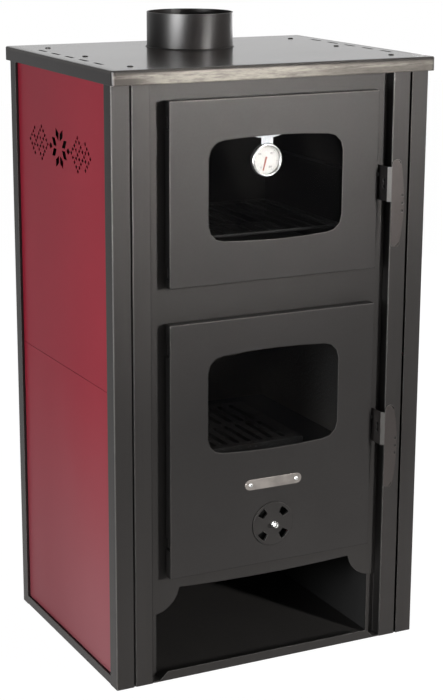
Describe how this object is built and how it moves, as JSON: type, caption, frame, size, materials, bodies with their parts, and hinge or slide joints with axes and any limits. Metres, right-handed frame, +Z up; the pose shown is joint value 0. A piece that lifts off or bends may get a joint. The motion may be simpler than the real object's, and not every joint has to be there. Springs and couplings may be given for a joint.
{
  "type": "wood-burning stove with oven",
  "caption": "Upright wood-burning stove with a glazed oven door over a glazed fire door, a wood store below, a flat cooking top with a round flue spigot, and pierced red side panels.",
  "frame": {"origin": "middle of the bounding box's footprint, at the floor", "axes": "+Z up, the doors face -Y, +X to the right of a viewer who faces the doors"},
  "size_m": [0.466, 0.3886, 0.868],
  "materials": {
    "dark_paint": "satin heat-resistant paint, anthracite",
    "red_enamel": "smooth glossy wine-red enamel",
    "top_steel": "polished dark steel with a burnished front edge",
    "black_steel": "matt black painted sheet steel",
    "cast_iron": "rough cast, unpainted",
    "firebrick": "dry pressed insulating brick",
    "oven_enamel": "glossy black vitreous enamel",
    "clear_glass": "clear heat-proof glass",
    "sealing_rope": "knitted glass-fibre rope",
    "zinc": "bright zinc plating",
    "bright_steel": "bright plated steel",
    "dial_white": "white printed dial face",
    "pointer_red": "red lacquer"
  },
  "bodies": {
    "stove_body": {"base_tray": "dark_paint", "front_post_left": "dark_paint", "front_post_right": "dark_paint", "rear_post_left": "dark_paint", "rear_post_right": "dark_paint", "front_stile_left": "dark_paint", "front_stile_right": "dark_paint", "front_plate": "dark_paint", "top_plate": "top_steel", "flue_spigot": "black_steel", "back_panel": "dark_paint", "side_panel_lower_left": "red_enamel", "side_panel_lower_right": "red_enamel", "side_panel_upper_left": "red_enamel", "side_panel_upper_right": "red_enamel", "inner_casing": "black_steel", "grate": "cast_iron", "firebrick_left": "firebrick", "firebrick_right": "firebrick", "firebrick_back": "firebrick", "oven_box": "oven_enamel", "oven_catch": "dark_paint", "fire_catch": "dark_paint"},
    "oven_door_body": {"oven_door": "dark_paint", "oven_door_liner": "black_steel", "oven_door_rope": "sealing_rope", "oven_door_glass": "clear_glass", "oven_door_screw_lower_left": "zinc", "oven_door_screw_lower_right": "zinc", "oven_door_screw_upper_left": "zinc", "oven_door_screw_upper_right": "zinc", "oven_hinge_pin_lower": "zinc", "oven_hinge_pin_upper": "zinc", "oven_handle_rivet": "zinc", "thermometer_bracket": "bright_steel", "thermometer_case": "bright_steel", "thermometer_dial": "dial_white", "thermometer_lens": "clear_glass"},
    "oven_handle_body": {"oven_handle": "dark_paint"},
    "thermometer_pointer_body": {"thermometer_pointer": "pointer_red"},
    "fire_door_body": {"fire_door": "dark_paint", "fire_door_liner": "black_steel", "fire_door_rope": "sealing_rope", "fire_door_glass": "clear_glass", "fire_door_screw_lower_left": "zinc", "fire_door_screw_lower_right": "zinc", "fire_door_screw_upper_left": "zinc", "fire_door_screw_upper_right": "zinc", "fire_hinge_pin_lower": "zinc", "fire_hinge_pin_upper": "zinc", "fire_handle_rivet": "zinc", "nameplate": "bright_steel", "nameplate_rivet_left": "bright_steel", "nameplate_rivet_right": "bright_steel", "rosette_screw": "zinc", "rosette_nut": "zinc"},
    "fire_handle_body": {"fire_handle": "dark_paint"},
    "air_rosette_body": {"air_rosette": "dark_paint"},
    "ash_pan_body": {"ash_pan": "black_steel"},
    "oven_rack_body": {"oven_rack": "bright_steel"}
  },
  "joints": [
    {"name": "oven_door_hinge", "type": "hinge", "parent": "stove_body", "child": "oven_door_body", "pos_m": [-0.1455, -0.16575, 0.6546], "axis": [0, 0, -1], "range_deg": [0, 100]},
    {"name": "fire_door_hinge", "type": "hinge", "parent": "stove_body", "child": "fire_door_body", "pos_m": [-0.1455, -0.16575, 0.3245], "axis": [0, 0, -1], "range_deg": [0, 100]},
    {"name": "oven_handle_pivot", "type": "hinge", "parent": "oven_door_body", "child": "oven_handle_body", "pos_m": [0.15775, -0.16575, 0.6661], "axis": [-1, 0, 0], "range_deg": [0, 35]},
    {"name": "fire_handle_pivot", "type": "hinge", "parent": "fire_door_body", "child": "fire_handle_body", "pos_m": [0.15775, -0.16575, 0.3288], "axis": [-1, 0, 0], "range_deg": [0, 35]},
    {"name": "air_rosette_turn", "type": "hinge", "parent": "fire_door_body", "child": "air_rosette_body", "pos_m": [0.0005, -0.1733, 0.2007], "axis": [0, 1, 0], "range_deg": [0, 45]},
    {"name": "thermometer_pointer_turn", "type": "hinge", "parent": "oven_door_body", "child": "thermometer_pointer_body", "pos_m": [-0.0094, -0.15995, 0.6953], "axis": [0, 1, 0], "range_deg": [0, 290]},
    {"name": "ash_pan_slide", "type": "slide", "parent": "stove_body", "child": "ash_pan_body", "axis": [0, -1, 0], "range_m": [0, 0.16]},
    {"name": "oven_rack_slide", "type": "slide", "parent": "stove_body", "child": "oven_rack_body", "axis": [0, -1, 0], "range_m": [0, 0.06]}
  ],
  "couplings": [
    {"joint": "ash_pan_slide", "follows": "fire_door_hinge", "m_per_rad": 0.09},
    {"joint": "oven_rack_slide", "follows": "oven_door_hinge", "m_per_rad": 0.03}
  ]
}
